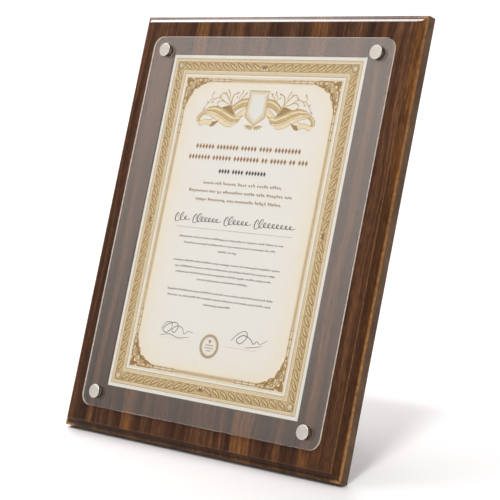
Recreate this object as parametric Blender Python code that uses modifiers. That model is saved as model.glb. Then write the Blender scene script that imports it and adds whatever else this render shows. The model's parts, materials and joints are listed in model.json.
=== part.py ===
# Certificate plaque. A routed board with a walnut-grain foil leans back on a
# folding strut. An A4 sheet lies on its face under a clear acrylic cover,
# which four screw caps hold. Metres, +Z up, and the board faces -Y.

import math

import bmesh
import bpy
from mathutils import Matrix, Vector

MM = 0.001
GAP = 0.2 * MM  # between pieces that touch

# Board, in its own frame: X across, Y up the board, Z out of its face.
# Y is 0 at the bottom edge and Z is 0 at the back.
BOARD_WIDTH = 305 * MM
BOARD_HEIGHT = 375 * MM
BOARD_THICKNESS = 15 * MM
LEAN = math.radians(17.5)
COVE_RADIUS = 6.2 * MM
COVE_STEPS = 10
FOIL_THICKNESS = 0.4 * MM

# Sheet and cover
SHEET_SIZE = (210 * MM, 297 * MM)
SHEET_THICKNESS = 0.2 * MM
SHEET_RISE = 2 * MM  # above the board's middle
COVER_SIZE = (262.4 * MM, 333.4 * MM)
COVER_THICKNESS = 2 * MM
COVER_CORNER_RADIUS = 10 * MM
COVER_CORNER_STEPS = 8

# Screw caps
CAP_SPACING = (230.5 * MM, 308 * MM)
CAP_RADIUS = 6 * MM
CAP_HEIGHT = 2.1 * MM
CAP_CHAMFER = 0.5 * MM
CAP_SOCKET_DEPTH = 1.2 * MM
CAP_SEGMENTS = 48
WASHER_RADIUS = 5.5 * MM
WASHER_THICKNESS = 0.3 * MM
STUD_RADIUS = 2 * MM
STUD_LENGTH = 13 * MM
STUD_CHAMFER = 0.4 * MM
INSERT_RADIUS = 3.75 * MM
INSERT_LENGTH = 10 * MM
INSERT_BARBS = 4
INSERT_BARB_DEPTH = 0.5 * MM
COVER_HOLE_RADIUS = 3 * MM
SMALL_SEGMENTS = 24

# Strut, in a frame on its pin: Y up the leg, Z towards the board
STRUT_OPEN = math.radians(32)
PIN_HEIGHT = 235 * MM  # up the board
PIN_STANDOFF = 8 * MM  # behind the board
PIN_RADIUS = 2 * MM
PIN_HEAD_RADIUS = 3.6 * MM
PIN_HEAD_HEIGHT = 1.5 * MM
LEG_THICKNESS = 6 * MM
LEG_TOP_WIDTH = 40 * MM
LEG_FOOT_WIDTH = 58 * MM
LEG_SHOULDER = 24 * MM  # below the pin, where the leg starts to widen
LEG_CORNER_RADIUS = 3 * MM
LEG_EDGE_BEVEL = 0.8 * MM
PAD_SIZE = (52 * MM, 5.6 * MM, 1.8 * MM)
SPACER_RADIUS = 4.5 * MM
SPACER_THICKNESS = 0.8 * MM
PLATE_THICKNESS = 1.5 * MM
PLATE_ABOVE_PIN = 37 * MM
PLATE_BELOW_PIN = 9 * MM
PLATE_CORNER_RADIUS = 3 * MM
CHEEK_DEPTH = 13.5 * MM
CHEEK_ABOVE_PIN = 8 * MM
CHEEK_CORNER_RADIUS = 5 * MM
SCREW_SPACING = (28 * MM, 13 * MM)
SCREW_ROWS_ABOVE_PIN = 23 * MM  # middle of the two rows
SCREW_HEAD_RADIUS = 3.3 * MM
SCREW_HEAD_HEIGHT = 1.6 * MM
SCREW_SHANK_RADIUS = 1.6 * MM
SCREW_LENGTH = 11 * MM
SCREW_POINT = 3 * MM

CORNERS = {
    "top_left": (-1, 1),
    "top_right": (1, 1),
    "bottom_left": (-1, -1),
    "bottom_right": (1, -1),
}

# name: base colour, roughness, metallic
MATERIALS = {
    "walnut_foil": ((0.055, 0.030, 0.022), 0.38, 0.0),
    "edge_paint": ((0.10, 0.075, 0.062), 0.55, 0.0),
    "certificate_paper": ((0.86, 0.82, 0.70), 0.60, 0.0),
    "clear_acrylic": ((0.92, 0.93, 0.94), 0.04, 0.0),
    "satin_nickel": ((0.62, 0.60, 0.57), 0.30, 1.0),
    "clear_nylon": ((0.80, 0.80, 0.78), 0.25, 0.0),
    "zinc_steel": ((0.60, 0.61, 0.62), 0.35, 1.0),
    "brass": ((0.72, 0.55, 0.25), 0.35, 1.0),
    "black_steel": ((0.03, 0.03, 0.032), 0.42, 0.6),
    "black_board": ((0.025, 0.022, 0.020), 0.60, 0.0),
    "black_rubber": ((0.02, 0.02, 0.02), 0.80, 0.0),
}


def clear_scene():
    for old in list(bpy.data.objects):
        bpy.data.objects.remove(old)


def collection(name):
    made = bpy.data.collections.new(name)
    bpy.context.scene.collection.children.link(made)
    return made


def make_materials():
    made = {}
    for name, (colour, roughness, metallic) in MATERIALS.items():
        material = bpy.data.materials.new(name)
        material.use_nodes = True
        shader = material.node_tree.nodes["Principled BSDF"]
        shader.inputs["Base Color"].default_value = (*colour, 1)
        shader.inputs["Roughness"].default_value = roughness
        shader.inputs["Metallic"].default_value = metallic
        made[name] = material
    return made


def empty(name, parent=None, location=(0, 0, 0), turn_x=0.0):
    made = bpy.data.objects.new(name, None)
    made.location = location
    made.rotation_euler.x = turn_x
    made.parent = parent
    PARTS.objects.link(made)
    return made


def add_object(name, bm, material, parent, location=(0, 0, 0), rotation=(0, 0, 0)):
    mesh = bpy.data.meshes.new(name)
    bm.to_mesh(mesh)
    bm.free()
    made = bpy.data.objects.new(name, mesh)
    made.location = location
    made.rotation_euler = rotation
    made.parent = parent
    if material:
        mesh.materials.append(MADE_MATERIALS[material])
        PARTS.objects.link(made)
    else:
        made.hide_render = True
        made.display_type = "WIRE"
        CUTTERS.objects.link(made)
    return made


def add_box(bm, size, centre=(0, 0, 0)):
    matrix = Matrix.Translation(centre) @ Matrix.Diagonal((*size, 1))
    bmesh.ops.create_cube(bm, size=1, matrix=matrix)


def round_upright_edges(bm, radius, segments, keep=lambda edge: True):
    """Round the edges that run along Z."""
    upright = []
    for edge in bm.edges:
        run = edge.verts[1].co - edge.verts[0].co
        if abs(run.z) > 0.99 * run.length and keep(edge):
            upright.append(edge)
    bmesh.ops.bevel(bm, geom=upright, offset=radius, segments=segments, profile=0.5, affect="EDGES")


def rounded_slab(size, centre, radius, segments):
    bm = bmesh.new()
    add_box(bm, size, centre)
    round_upright_edges(bm, radius, segments)
    return bm


def boolean(target, cutter, operation="DIFFERENCE"):
    modifier = target.modifiers.new(operation.title() + " " + cutter.name, "BOOLEAN")
    modifier.operation = operation
    modifier.solver = "EXACT"
    modifier.object = cutter


def drill(target, name, radius, spots, low, high):
    """Cut round holes along Z through the target at each (x, y) spot."""
    bm = bmesh.new()
    for x, y in spots:
        middle = Matrix.Translation((x, y, (low + high) / 2))
        bmesh.ops.create_cone(bm, cap_ends=True, segments=SMALL_SEGMENTS, radius1=radius,
                              radius2=radius, depth=high - low, matrix=middle)
    cutter = add_object(name, bm, None, target.parent, target.location, target.rotation_euler)
    boolean(target, cutter)


def turned(name, profile, segments, material, parent, location, rotation=(0, 0, 0), ring=False):
    """Spin a profile of (radius, height) points, listed top to bottom, about Z."""
    bm = bmesh.new()
    verts = [bm.verts.new((radius, 0, height)) for radius, height in profile]
    for first, second in zip(verts, verts[1:]):
        bm.edges.new((first, second))
    if ring:
        bm.edges.new((verts[-1], verts[0]))
    made = add_object(name, bm, material, parent, location, rotation)
    screw = made.modifiers.new("Screw", "SCREW")
    screw.axis = "Z"
    screw.steps = segments
    screw.render_steps = segments
    screw.use_merge_vertices = True
    screw.merge_threshold = 0.00001
    screw.use_smooth_shade = False
    return made


def cap_spots(middle_y):
    """Where the four fixings go, as (corner name, x, y)."""
    spots = []
    for corner, (side, level) in CORNERS.items():
        spots.append((corner, side * CAP_SPACING[0] / 2, middle_y + level * CAP_SPACING[1] / 2))
    return spots


def coved_solid(radius, face_depth):
    """The board's solid with its cove, whose arc is centred on the outer front corner."""
    bm = bmesh.new()
    ledge = BOARD_THICKNESS - radius
    add_box(bm, (BOARD_WIDTH, BOARD_HEIGHT, ledge), (0, BOARD_HEIGHT / 2, ledge / 2))
    last = math.acos(face_depth / radius)
    inset, depth = 0.0, radius
    for step in range(1, COVE_STEPS + 1):
        angle = last * step / COVE_STEPS
        next_inset, next_depth = radius * math.sin(angle), radius * math.cos(angle)
        face = max(bm.faces, key=lambda f: f.calc_center_median().z)
        bmesh.ops.inset_region(bm, faces=[face], thickness=next_inset - inset,
                               depth=depth - next_depth, use_even_offset=True)
        inset, depth = next_inset, next_depth
    return bm


def board_core(frame):
    skin = FOIL_THICKNESS + GAP
    core = add_object("board_core", coved_solid(COVE_RADIUS + skin, skin), "edge_paint", frame)
    spots = [(x, y) for _, x, y in cap_spots(BOARD_HEIGHT / 2)]
    floor = BOARD_THICKNESS - skin - GAP - INSERT_LENGTH - GAP
    drill(core, "insert_holes", INSERT_RADIUS + GAP, spots, floor, BOARD_THICKNESS + MM)
    drill(core, "screw_holes", SCREW_SHANK_RADIUS + GAP, screw_spots(), -MM,
          SCREW_LENGTH - PLATE_THICKNESS)


def walnut_foil(frame):
    """Front face and cove as an open surface, thickened inwards."""
    bm = coved_solid(COVE_RADIUS, 0)
    ledge = BOARD_THICKNESS - COVE_RADIUS
    body = [f for f in bm.faces if f.calc_center_median().z < ledge + 0.1 * GAP]
    bmesh.ops.delete(bm, geom=body, context="FACES")
    foil = add_object("walnut_foil", bm, "walnut_foil", frame)
    skin = foil.modifiers.new("Thickness", "SOLIDIFY")
    skin.thickness = FOIL_THICKNESS
    skin.offset = -1
    skin.use_even_offset = True
    spots = [(x, y) for _, x, y in cap_spots(BOARD_HEIGHT / 2)]
    drill(foil, "foil_holes", INSERT_RADIUS + GAP, spots, BOARD_THICKNESS - 2 * MM,
          BOARD_THICKNESS + MM)


def certificate_sheet(frame):
    bm = bmesh.new()
    level = BOARD_THICKNESS + GAP + SHEET_THICKNESS / 2
    add_box(bm, (*SHEET_SIZE, SHEET_THICKNESS), (0, BOARD_HEIGHT / 2 + SHEET_RISE, level))
    add_object("certificate_sheet", bm, "certificate_paper", frame)


def acrylic_cover(frame, back):
    centre = (0, BOARD_HEIGHT / 2, back + COVER_THICKNESS / 2)
    bm = rounded_slab((*COVER_SIZE, COVER_THICKNESS), centre, COVER_CORNER_RADIUS,
                      COVER_CORNER_STEPS)
    cover = add_object("acrylic_cover", bm, "clear_acrylic", frame)
    spots = [(x, y) for _, x, y in cap_spots(BOARD_HEIGHT / 2)]
    drill(cover, "cover_holes", COVER_HOLE_RADIUS, spots, back - MM, back + COVER_THICKNESS + MM)


def insert_profile():
    """Barbed outside, plain bore, as a closed ring."""
    pitch = INSERT_LENGTH / INSERT_BARBS
    points = []
    for barb in range(INSERT_BARBS):
        top = -barb * pitch
        points.append((INSERT_RADIUS, top))
        points.append((INSERT_RADIUS, top - 0.4 * pitch))
        points.append((INSERT_RADIUS - INSERT_BARB_DEPTH, top - 0.95 * pitch))
    bore = STUD_RADIUS + GAP
    return points + [(bore, -INSERT_LENGTH), (bore, 0)]


def fixing(corner, frame, cover_front, x, y):
    """One cap with its washer and stud, and the insert that it screws into."""
    washer_back = cover_front + GAP
    cap_back = washer_back + WASHER_THICKNESS + GAP
    hole = STUD_RADIUS + GAP
    holder = empty("axis_" + corner, frame, (x, y, cap_back))

    turned("cap_washer_" + corner,
           [(WASHER_RADIUS, WASHER_THICKNESS), (WASHER_RADIUS, 0), (hole, 0),
            (hole, WASHER_THICKNESS)],
           CAP_SEGMENTS, "clear_nylon", holder, (0, 0, washer_back - cap_back), ring=True)
    turned("cap_" + corner,
           [(0, CAP_HEIGHT), (CAP_RADIUS - CAP_CHAMFER, CAP_HEIGHT),
            (CAP_RADIUS, CAP_HEIGHT - CAP_CHAMFER), (CAP_RADIUS, 0), (hole, 0),
            (hole, CAP_SOCKET_DEPTH), (0, CAP_SOCKET_DEPTH)],
           CAP_SEGMENTS, "satin_nickel", holder, (0, 0, 0))
    tip = STUD_RADIUS - STUD_CHAMFER
    turned("cap_stud_" + corner,
           [(0, 0), (tip, 0), (STUD_RADIUS, -STUD_CHAMFER),
            (STUD_RADIUS, STUD_CHAMFER - STUD_LENGTH), (tip, -STUD_LENGTH), (0, -STUD_LENGTH)],
           SMALL_SEGMENTS, "zinc_steel", holder, (0, 0, CAP_SOCKET_DEPTH - GAP))
    insert_top = BOARD_THICKNESS - FOIL_THICKNESS - 2 * GAP
    turned("brass_insert_" + corner, insert_profile(), SMALL_SEGMENTS, "brass", frame,
           (x, y, insert_top), ring=True)


def screw_spots():
    spots = []
    for side in (-1, 1):
        for level in (-1, 1):
            spots.append((side * SCREW_SPACING[0] / 2,
                          PIN_HEIGHT + SCREW_ROWS_ABOVE_PIN + level * SCREW_SPACING[1] / 2))
    return spots


def cheek_inner_face():
    return LEG_TOP_WIDTH / 2 + GAP + SPACER_THICKNESS + GAP


def strut_bracket(frame):
    """A plate on the board's back with two cheeks that carry the pin."""
    outer = cheek_inner_face() + PLATE_THICKNESS
    plate_height = PLATE_ABOVE_PIN + PLATE_BELOW_PIN
    plate_centre = (0, PIN_HEIGHT + (PLATE_ABOVE_PIN - PLATE_BELOW_PIN) / 2,
                    -GAP - PLATE_THICKNESS / 2)
    bm = rounded_slab((2 * outer, plate_height, PLATE_THICKNESS), plate_centre,
                      PLATE_CORNER_RADIUS, 4)
    bracket = add_object("strut_bracket", bm, "black_steel", frame)

    cheeks = bmesh.new()
    cheek_height = CHEEK_ABOVE_PIN + PLATE_BELOW_PIN - PLATE_CORNER_RADIUS
    for side in (-1, 1):
        add_box(cheeks, (PLATE_THICKNESS, cheek_height, CHEEK_DEPTH),
                (side * (outer - PLATE_THICKNESS / 2), PIN_HEIGHT + CHEEK_ABOVE_PIN - cheek_height / 2,
                 -GAP - CHEEK_DEPTH / 2))
    outer_corners = [e for e in cheeks.edges
                     if all(v.co.z < -CHEEK_DEPTH for v in e.verts)
                     and abs(e.verts[0].co.x - e.verts[1].co.x) > GAP]
    bmesh.ops.bevel(cheeks, geom=outer_corners, offset=CHEEK_CORNER_RADIUS, segments=5,
                    profile=0.5, affect="EDGES")
    boolean(bracket, add_object("cheeks", cheeks, None, frame), "UNION")

    across = bmesh.new()
    turn = Matrix.Translation((0, PIN_HEIGHT, -PIN_STANDOFF)) @ Matrix.Rotation(math.pi / 2, 4, "Y")
    hole = PIN_RADIUS + GAP
    bmesh.ops.create_cone(across, cap_ends=True, segments=SMALL_SEGMENTS, radius1=hole,
                          radius2=hole, depth=4 * outer, matrix=turn)
    boolean(bracket, add_object("bracket_pin_hole", across, None, frame))
    drill(bracket, "bracket_screw_holes", SCREW_SHANK_RADIUS + GAP, screw_spots(),
          -PLATE_THICKNESS - MM, MM)


def bracket_screws(frame):
    """Pan-head wood screws, driven from behind the plate into the board."""
    head_seat = -GAP - PLATE_THICKNESS - GAP
    shank = SCREW_LENGTH - SCREW_POINT
    dome = [(0, SCREW_HEAD_HEIGHT)]
    for step in range(1, 5):
        angle = math.radians(90 * step / 4)
        dome.append((SCREW_HEAD_RADIUS * math.sin(angle), SCREW_HEAD_HEIGHT * math.cos(angle)))
    profile = dome + [(SCREW_SHANK_RADIUS, 0), (SCREW_SHANK_RADIUS, -shank), (0, -SCREW_LENGTH)]
    names = ("left_lower", "left_upper", "right_lower", "right_upper")
    for name, (x, y) in zip(names, screw_spots()):
        turned("bracket_screw_" + name, profile, SMALL_SEGMENTS, "zinc_steel", frame,
               (x, y, head_seat), rotation=(math.pi, 0, 0))


def strut_pin(frame):
    inner = cheek_inner_face() + PLATE_THICKNESS + GAP
    end = inner + PIN_HEAD_HEIGHT
    chamfer = PIN_HEAD_HEIGHT / 2
    half = [(0, end), (PIN_HEAD_RADIUS - chamfer, end), (PIN_HEAD_RADIUS, end - chamfer),
            (PIN_HEAD_RADIUS, inner), (PIN_RADIUS, inner)]
    profile = half + [(radius, -height) for radius, height in reversed(half)]
    turned("strut_pin", profile, SMALL_SEGMENTS, "zinc_steel", frame,
           (0, PIN_HEIGHT, -PIN_STANDOFF), rotation=(0, math.pi / 2, 0))


def strut_spacers(frame):
    for name, side in (("left", -1), ("right", 1)):
        middle = side * (LEG_TOP_WIDTH / 2 + GAP + SPACER_THICKNESS / 2)
        half = SPACER_THICKNESS / 2
        hole = PIN_RADIUS + GAP
        turned("strut_spacer_" + name,
               [(SPACER_RADIUS, half), (SPACER_RADIUS, -half), (hole, -half), (hole, half)],
               SMALL_SEGMENTS, "clear_nylon", frame, (middle, PIN_HEIGHT, -PIN_STANDOFF),
               rotation=(0, math.pi / 2, 0), ring=True)


def pin_level():
    """Height of the pin above the floor."""
    return PIN_HEIGHT * math.cos(LEAN) - PIN_STANDOFF * math.sin(LEAN)


def leg_heel():
    """How far the leg runs on above the pin. Its corner meets the plate when it is open."""
    to_plate = PIN_STANDOFF - GAP - PLATE_THICKNESS - GAP
    return (to_plate - LEG_THICKNESS / 2 * math.cos(STRUT_OPEN)) / math.sin(STRUT_OPEN)


def strut_leg(strut):
    """Tapered leg, cut level with the floor at its foot."""
    backwards = STRUT_OPEN - LEAN
    foot = pin_level() / math.cos(backwards) + LEG_THICKNESS
    heel = leg_heel()
    bm = bmesh.new()
    add_box(bm, (LEG_TOP_WIDTH, heel + foot, LEG_THICKNESS), (0, (heel - foot) / 2, 0))
    everything = list(bm.verts) + list(bm.edges) + list(bm.faces)
    bmesh.ops.bisect_plane(bm, geom=everything, plane_co=(0, -LEG_SHOULDER, 0),
                           plane_no=(0, 1, 0))
    for vert in bm.verts:
        if vert.co.y < -2 * LEG_SHOULDER:
            vert.co.x *= LEG_FOOT_WIDTH / LEG_TOP_WIDTH
    up = Vector((0, math.cos(backwards), -math.sin(backwards)))
    sole = PAD_SIZE[2] + GAP - pin_level()
    everything = list(bm.verts) + list(bm.edges) + list(bm.faces)
    cut = bmesh.ops.bisect_plane(bm, geom=everything, plane_co=up * sole, plane_no=up,
                                 clear_inner=True)
    rim = [item for item in cut["geom_cut"] if isinstance(item, bmesh.types.BMEdge)]
    bmesh.ops.edgeloop_fill(bm, edges=rim)
    round_upright_edges(bm, LEG_CORNER_RADIUS, 4, lambda edge: edge.verts[0].co.y > 0)
    bmesh.ops.recalc_face_normals(bm, faces=bm.faces)
    leg = add_object("strut_leg", bm, "black_board", strut)
    soften = leg.modifiers.new("Soft edges", "BEVEL")
    soften.width = LEG_EDGE_BEVEL
    soften.segments = 2
    soften.limit_method = "ANGLE"
    soften.angle_limit = math.radians(50)

    across = bmesh.new()
    hole = PIN_RADIUS + GAP
    bmesh.ops.create_cone(across, cap_ends=True, segments=SMALL_SEGMENTS, radius1=hole,
                          radius2=hole, depth=2 * LEG_TOP_WIDTH,
                          matrix=Matrix.Rotation(math.pi / 2, 4, "Y"))
    boolean(leg, add_object("leg_pin_hole", across, None, strut))


def strut_foot_pad(strut):
    """Rubber pad, level on the floor while the strut is open."""
    backwards = STRUT_OPEN - LEAN
    along = (pin_level() - PAD_SIZE[2] / 2) / math.cos(backwards)
    bm = rounded_slab(PAD_SIZE, (0, 0, 0), MM, 3)
    add_object("strut_foot_pad", bm, "black_rubber", strut, (0, -along, 0),
               (LEAN - STRUT_OPEN - math.pi / 2, 0, 0))


def stand_at_origin(top):
    """Move the whole plaque so that its bounding box stands centred on the origin."""
    bpy.context.view_layer.update()
    depsgraph = bpy.context.evaluated_depsgraph_get()
    reach = []
    for made in PARTS.objects:
        if made.type == "MESH":
            seen = made.evaluated_get(depsgraph)
            reach += [(seen.matrix_world @ Vector(corner)).y for corner in seen.bound_box]
    top.location.y = -(min(reach) + max(reach)) / 2


def build():
    plaque = empty("plaque_frame")
    board = empty("board_frame", plaque, turn_x=math.pi / 2 - LEAN)
    strut = empty("strut_hinge", board, (0, PIN_HEIGHT, -PIN_STANDOFF), STRUT_OPEN)

    board_core(board)
    walnut_foil(board)
    certificate_sheet(board)
    cover_back = BOARD_THICKNESS + GAP + SHEET_THICKNESS + GAP
    acrylic_cover(board, cover_back)
    for corner, x, y in cap_spots(BOARD_HEIGHT / 2):
        fixing(corner, board, cover_back + COVER_THICKNESS, x, y)

    strut_bracket(board)
    bracket_screws(board)
    strut_pin(board)
    strut_spacers(board)
    strut_leg(strut)
    strut_foot_pad(strut)
    stand_at_origin(plaque)


clear_scene()
PARTS = collection("certificate_plaque")
CUTTERS = collection("cutters")
MADE_MATERIALS = make_materials()
build()
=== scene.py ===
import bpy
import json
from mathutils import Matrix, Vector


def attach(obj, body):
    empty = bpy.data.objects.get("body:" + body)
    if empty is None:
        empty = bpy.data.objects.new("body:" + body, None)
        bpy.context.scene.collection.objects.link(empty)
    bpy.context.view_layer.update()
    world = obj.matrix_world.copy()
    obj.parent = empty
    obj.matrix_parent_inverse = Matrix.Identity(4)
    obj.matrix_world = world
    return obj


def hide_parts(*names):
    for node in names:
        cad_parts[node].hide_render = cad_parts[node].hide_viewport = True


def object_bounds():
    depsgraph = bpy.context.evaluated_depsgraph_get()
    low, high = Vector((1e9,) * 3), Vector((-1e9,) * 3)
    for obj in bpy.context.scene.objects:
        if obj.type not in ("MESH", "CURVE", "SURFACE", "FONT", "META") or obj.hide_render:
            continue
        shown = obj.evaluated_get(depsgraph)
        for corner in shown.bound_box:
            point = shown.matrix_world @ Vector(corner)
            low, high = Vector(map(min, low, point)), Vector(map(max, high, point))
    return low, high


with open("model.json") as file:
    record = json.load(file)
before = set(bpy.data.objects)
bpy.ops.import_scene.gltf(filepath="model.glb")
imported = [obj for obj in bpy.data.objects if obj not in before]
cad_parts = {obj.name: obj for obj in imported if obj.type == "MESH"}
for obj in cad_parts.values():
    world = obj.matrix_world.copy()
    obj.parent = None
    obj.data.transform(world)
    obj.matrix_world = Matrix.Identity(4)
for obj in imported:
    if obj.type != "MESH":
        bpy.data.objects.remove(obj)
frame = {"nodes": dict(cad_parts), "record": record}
cadBox = [list(corner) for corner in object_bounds()]

import json
import math
import random

import bmesh
import bpy
from mathutils import Matrix, Vector

mm = 0.001


def findBoardFrame():
    # X across, Y up the board, Z out of its face, from the middle of the lower back edge
    back = next(mount for mount in frame["record"]["mounts"] if mount["name"] == "board_back")
    outOfFace = -Vector(back["axis"]).normalized()
    across = Vector((1, 0, 0))
    upBoard = outOfFace.cross(across)
    onBack = Vector(back["pos_m"])
    corner = onBack - upBoard * (onBack.z / upBoard.z)
    corner.x = 0
    turn = Matrix((across, upBoard, outOfFace)).transposed().to_4x4()
    return Matrix.Translation(corner) @ turn


boardFrame = findBoardFrame()
toBoard = boardFrame.inverted()


def boardBox(nodeName):
    # a node's lowest and highest corner, measured along the board
    node = frame["nodes"][nodeName]
    points = [toBoard @ (node.matrix_world @ vert.co) for vert in node.data.vertices]
    low = Vector([min(point[axis] for point in points) for axis in range(3)])
    high = Vector([max(point[axis] for point in points) for axis in range(3)])
    return low, high


boardLow, boardHigh = boardBox("board_core")
foilLow, foilHigh = boardBox("walnut_foil")
sheetLow, sheetHigh = boardBox("certificate_sheet")
coverLow, coverHigh = boardBox("acrylic_cover")
corners = ("top_left", "top_right", "bottom_left", "bottom_right")


def addToScene(name, data):
    made = bpy.data.objects.new(name, data)
    bpy.context.scene.collection.objects.link(made)
    return made


def newObject(name, bm, place=boardFrame):
    mesh = bpy.data.meshes.new(name)
    bm.to_mesh(mesh)
    bm.free()
    made = addToScene(name, mesh)
    made.matrix_world = place
    return made


def addModifier(made, kind, **settings):
    modifier = made.modifiers.new(kind.title(), kind)
    for key, value in settings.items():
        setattr(modifier, key, value)
    return modifier


def bake(made):
    # turn a piece's modifiers into plain mesh
    bpy.context.view_layer.update()
    seen = made.evaluated_get(bpy.context.evaluated_depsgraph_get())
    mesh = bpy.data.meshes.new_from_object(seen)
    made.modifiers.clear()
    made.data = mesh


def smooth(made, degrees=35):
    made.data.shade_smooth()
    made.data.set_sharp_from_angle(angle=math.radians(degrees))


def paint(made, finishes):
    # gives a piece its finishes, and keeps which face wears which
    places = [face.material_index for face in made.data.polygons]
    made.data.materials.clear()
    for finish in finishes:
        made.data.materials.append(finish.material)
    made.data.polygons.foreach_set("material_index", places)


def settle(made, finishes, body, stands=()):
    # paints a finished piece and puts it on its body
    paint(made, finishes)
    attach(made, body)
    if stands:
        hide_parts(*stands)


class Wiring:
    # short ways to lay out and join the nodes of one tree

    def __init__(self, tree):
        self.tree = tree

    def plug(self, socket, source):
        # a socket takes another node's output, a colour or a plain value
        if isinstance(source, bpy.types.NodeSocket):
            self.tree.links.new(source, socket)
        elif socket.type == "RGBA" and len(source) == 3:
            socket.default_value = (*source, 1)
        else:
            socket.default_value = source

    def add(self, kind, inputs=None, **settings):
        node = self.tree.nodes.new(kind)
        for key, value in settings.items():
            setattr(node, key, value)
        for key, source in (inputs or {}).items():
            self.plug(node.inputs[key], source)
        return node

    def maths(self, operation, *values, kind="ShaderNodeMath"):
        return self.add(kind, dict(enumerate(values)), operation=operation).outputs[0]

    def vectors(self, operation, *values):
        return self.maths(operation, *values, kind="ShaderNodeVectorMath")

    def split(self, vector):
        return self.add("ShaderNodeSeparateXYZ", {0: vector}).outputs

    def noise(self, vector, scale, detail=4.0, roughness=0.5, stretch=None):
        if stretch:
            vector = self.add("ShaderNodeMapping", {"Vector": vector, "Scale": stretch}).outputs["Vector"]
        return self.add("ShaderNodeTexNoise", {"Vector": vector, "Scale": scale, "Detail": detail,
                                               "Roughness": roughness}).outputs["Fac"]

    def ramp(self, value, stops):
        # stops are (position, colour), where a plain number is a grey
        node = self.add("ShaderNodeValToRGB", {"Fac": value})
        elements = node.color_ramp.elements
        while len(elements) < len(stops):
            elements.new(0.5)
        for element, (position, colour) in zip(elements, stops):
            element.position = position
            element.color = (*(colour if isinstance(colour, tuple) else [colour] * 3), 1)
        return node.outputs["Color"]

    def mix(self, factor, first, second, blend="MIX"):
        return self.add("ShaderNodeMix", {"Factor": factor, "A": first, "B": second},
                        data_type="RGBA", blend_type=blend).outputs["Result"]

    def span(self, value, low, high, outLow, outHigh):
        # carries the range low to high onto another
        return self.add("ShaderNodeMapRange", {"Value": value, "From Min": low, "From Max": high,
                                               "To Min": outLow, "To Max": outHigh}).outputs["Result"]


class Finish(Wiring):
    # a new material and its shader

    def __init__(self, name, colour=(0.5, 0.5, 0.5), roughness=0.5, metallic=0.0):
        self.material = bpy.data.materials.new(name)
        self.material.use_nodes = True
        super().__init__(self.material.node_tree)
        self.shader = self.tree.nodes["Principled BSDF"]
        self.set({"Base Color": colour, "Roughness": roughness, "Metallic": metallic})

    def set(self, values):
        for name, source in values.items():
            self.plug(self.shader.inputs[name], source)

    def coords(self):
        return self.add("ShaderNodeTexCoord").outputs["Object"]

    def bump(self, height, strength, distance):
        bump = self.add("ShaderNodeBump", {"Height": height, "Strength": strength, "Distance": distance})
        self.set({"Normal": bump.outputs["Normal"]})

    def coat(self, tone, skin, gloss, relief=None, specks=None):
        # a tone under a fine skin, which sets the gloss, the relief and the specks
        fine = self.noise(self.coords(), *skin)
        if specks:
            share, stops = specks
            tone = self.mix(share, tone, self.ramp(fine, stops), "MULTIPLY")
        self.set({"Base Color": tone, "Roughness": self.span(fine, 0.3, 0.7, *gloss)})
        if relief:
            self.bump(fine, *relief)


def makeSurface(name, light, dark, roughness, clouds, stops=(0.3, 0.7), metallic=0.0, **skin):
    # two tones in soft clouds, under a fine skin
    surface = Finish(name, light, roughness, metallic)
    cloud = surface.noise(surface.coords(), *clouds)
    surface.coat(surface.ramp(cloud, [(stops[0], dark), (stops[1], light)]), **skin)
    return surface


def makePlated(name, light, dark, roughness, scale=900.0):
    # bright plating with faint stains and fine wear
    return makeSurface(name, light, dark, roughness, (scale * 0.3,), (0.3, 0.65), 1.0,
                       skin=(scale * 3, 3.0), gloss=(roughness - 0.08, roughness + 0.1),
                       relief=(0.15, 0.00003))


def makeMatt(name, light, dark, roughness, scale, bumpDepth, metallic=0.0):
    # painted, stained or rubbery surfaces with a fine grainy skin
    return makeSurface(name, light, dark, roughness, (scale * 0.06,), metallic=metallic,
                       skin=(scale, 4.0, 0.6), gloss=(roughness + 0.08, roughness - 0.08),
                       relief=(0.4, bumpDepth))


walnutLook = {
    "deep": (0.02515, 0.00819, 0.003393),
    "dark": (0.04329, 0.01521, 0.006201),
    "middle": (0.06903, 0.02632, 0.01053),
    "light": (0.117, 0.04856, 0.02048),
    "honey": (0.1755, 0.0702, 0.02048),
    # rubbed wear and painted highlight along the arrises
    "rubbedAndLit": (0.468, 0.234, 0.07956),
    # painted shade for the hollow of the cove
    "coveShade": (0.03042, 0.009945, 0.004095),
    # painted warm highlight on the right cove
    "rightCoveHighlight": (0.250, 0.100, 0.028),
    "pore": (0.01287, 0.005265, 0.002574),
    # marks per metre across the grain
    "leafScale": 31.0, "stripeScale": 62.0, "streakScale": 380.0, "fibreScale": 1000.0, "poreScale": 1700.0,
    "lean": 0.009,             # how far the grain wanders to each side
    "roughness": 0.38, "shine": 0.14,
    # the lacquer ran thicker into the top cove
    "coveRoughness": 0.24, "coveShine": 1.0, "lacquerRoughness": 0.18, "lacquerIor": 1.85,
}


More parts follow.
